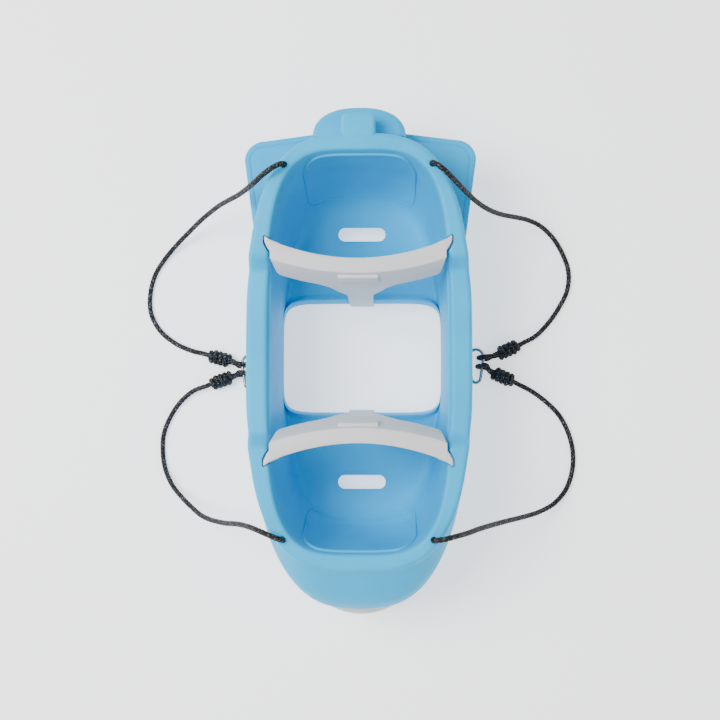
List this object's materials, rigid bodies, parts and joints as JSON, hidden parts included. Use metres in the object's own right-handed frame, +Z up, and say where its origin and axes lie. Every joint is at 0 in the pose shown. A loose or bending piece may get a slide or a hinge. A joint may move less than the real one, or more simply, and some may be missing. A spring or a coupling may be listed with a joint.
{
  "type": "two-seat toddler swing",
  "caption": "Boat-shaped toddler swing with facing bucket seats, a leg opening between them, lift-out T-bars and a rope with a snap hook at each side.",
  "frame": {"origin": "on the ground, at the middle of the hull's whole length and width", "axes": "+X right, +Y towards the stern with the tail wings, +Z up"},
  "size_m": [0.8277, 0.9104, 0.2945],
  "materials": {
    "hull_plastic": "satin rotomoulded polyethylene",
    "trim_plastic": "fine-grained moulded polypropylene",
    "rope": "braided polypropylene",
    "steel": "zinc plated"
  },
  "bodies": {
    "root": {"hull": "hull_plastic", "nose_cap": "trim_plastic", "nose_cap_screws": "steel", "rope_stern_left": "rope", "rope_stern_right": "rope", "rope_bow_left": "rope", "rope_bow_right": "rope", "stopper_knot_stern_left": "rope", "stopper_knot_stern_right": "rope", "stopper_knot_bow_left": "rope", "stopper_knot_bow_right": "rope", "barrel_knot_stern_left": "rope", "barrel_knot_stern_right": "rope", "barrel_knot_bow_left": "rope", "barrel_knot_bow_right": "rope", "rope_eye_stern_left": "rope", "rope_eye_stern_right": "rope", "rope_eye_bow_left": "rope", "rope_eye_bow_right": "rope", "snap_hook_left": "steel", "snap_hook_right": "steel", "gate_pin_left": "steel", "gate_pin_right": "steel"},
    "t_bar_stern": {"t_bar_stern": "trim_plastic"},
    "t_bar_bow": {"t_bar_bow": "trim_plastic"},
    "gate_left": {"gate_left": "steel"},
    "gate_right": {"gate_right": "steel"}
  },
  "joints": [
    {"name": "t_bar_stern_lift", "type": "slide", "parent": "root", "child": "t_bar_stern", "axis": [0, 0, 1], "range_m": [0, 0.26]},
    {"name": "t_bar_bow_lift", "type": "slide", "parent": "root", "child": "t_bar_bow", "axis": [0, 0, 1], "range_m": [0, 0.26]},
    {"name": "gate_left_open", "type": "hinge", "parent": "root", "child": "gate_left", "pos_m": [-0.20953, -0.02312, 0.00471], "axis": [0.35, 0, 0.9367], "range_deg": [0, 22], "stiffness_Nm_per_rad": 0.05, "springref_deg": -11.46},
    {"name": "gate_right_open", "type": "hinge", "parent": "root", "child": "gate_right", "pos_m": [0.20953, -0.01212, 0.00471], "axis": [-0.35, 0, 0.9367], "range_deg": [-22, 0], "stiffness_Nm_per_rad": 0.05, "springref_deg": 11.46}
  ]
}
